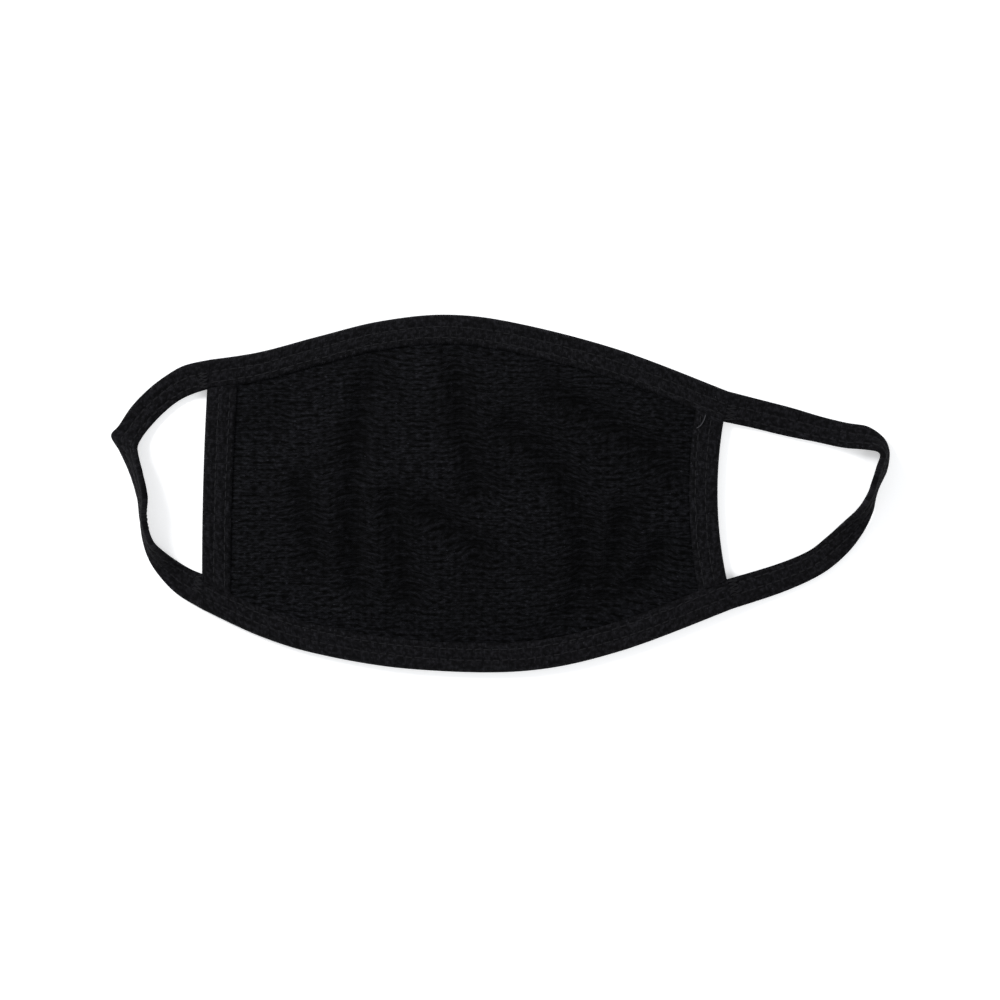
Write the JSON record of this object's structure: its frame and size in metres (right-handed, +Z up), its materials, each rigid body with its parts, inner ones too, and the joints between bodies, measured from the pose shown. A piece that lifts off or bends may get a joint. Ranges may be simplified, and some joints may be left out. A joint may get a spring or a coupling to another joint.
{
  "type": "cloth face mask",
  "caption": "Knitted cloth face mask with folded tape bindings and sewn ear loops, lying flat with its outer side up and a shallow hollow underneath.",
  "frame": {"origin": "on the surface the mask lies on, under the middle of its whole outline, ear loops included", "axes": "+Z up out of the table, +X along the mask towards the longer ear loop, +Y across it towards the nose edge"},
  "size_m": [0.2595, 0.1192, 0.0121],
  "materials": {
    "panel_knit": "matt black ribbed cotton knit",
    "binding_tape": "matt black smooth cotton tape, twin-needle stitched",
    "loop_tape": "matt black smooth cotton strap, stitched along both edges"
  },
  "bodies": {
    "root": {"face_panel": "panel_knit", "binding_top": "binding_tape", "binding_bottom": "binding_tape", "binding_left": "binding_tape", "binding_right": "binding_tape", "ear_loop_left": "loop_tape", "ear_loop_right": "loop_tape"}
  },
  "joints": []
}
